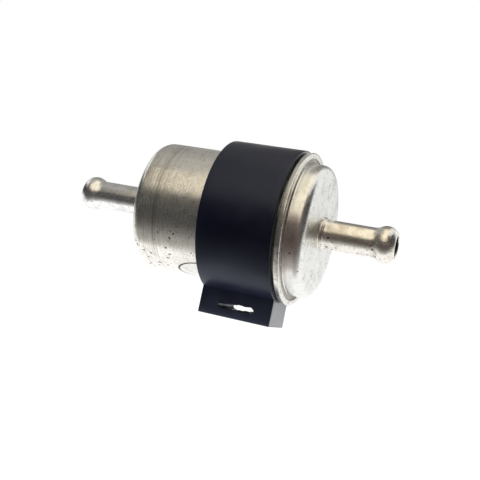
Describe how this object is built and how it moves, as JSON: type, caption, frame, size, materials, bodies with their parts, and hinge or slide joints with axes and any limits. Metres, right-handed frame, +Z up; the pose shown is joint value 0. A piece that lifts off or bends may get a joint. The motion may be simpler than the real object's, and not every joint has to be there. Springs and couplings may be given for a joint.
{
  "type": "fuel filter",
  "caption": "In-line fuel filter: a seamed metal can with a beaded hose nipple at each end and a pleated element inside, held in a black rubber ring with a slotted foot.",
  "frame": {"origin": "middle of the foot's bottom face, under the middle of the holder", "axes": "+X along the filter from the inlet end to the outlet end, +Z up from the foot to the filter's axis"},
  "size_m": [0.0941, 0.0428, 0.0489],
  "materials": {
    "holder_rubber": "smooth moulded and cut rubber, satin",
    "can_metal": "deep-drawn sheet, dull plated, fine draw marks",
    "lid_metal": "pressed sheet, dull plated, handling scratches",
    "nipple_metal": "drawn tube, plated, slightly tarnished",
    "braze_metal": "brazing alloy under dull plating",
    "seal_rubber": "matt moulded rubber",
    "spring_steel": "oiled spring wire",
    "pressed_steel": "tin-plated pressed sheet",
    "filter_paper": "resin-impregnated pleated paper",
    "wrap_card": "perforated card sleeve",
    "potting": "set plastisol adhesive",
    "strainer_nylon": "natural nylon",
    "strainer_mesh": "fine woven monofilament mesh"
  },
  "bodies": {
    "holder": {"holder": "holder_rubber"},
    "housing": {"can": "can_metal", "lid": "lid_metal", "seam_seal": "seal_rubber", "inlet_nipple": "nipple_metal", "inlet_braze": "braze_metal", "outlet_nipple": "nipple_metal", "outlet_braze": "braze_metal", "spring": "spring_steel"},
    "element": {"support_plate": "pressed_steel", "inlet_end_disc": "pressed_steel", "inlet_potting": "potting", "filter_paper": "filter_paper", "seam_clip": "pressed_steel", "centre_tube": "pressed_steel", "outer_wrap": "wrap_card", "outlet_potting": "potting", "outlet_end_disc": "pressed_steel", "outlet_seal": "seal_rubber", "strainer_ring": "strainer_nylon", "strainer_mesh": "strainer_mesh"}
  },
  "joints": [
    {"name": "filter_turn", "type": "hinge", "parent": "holder", "child": "housing", "pos_m": [0, 0, 0.0275], "axis": [1, 0, 0], "continuous": true},
    {"name": "element_float", "type": "slide", "parent": "housing", "child": "element", "axis": [-1, 0, 0], "range_m": [0, 0.001], "stiffness_N_per_m": 1500, "springref_m": -0.004, "deforming": ["spring"]}
  ]
}
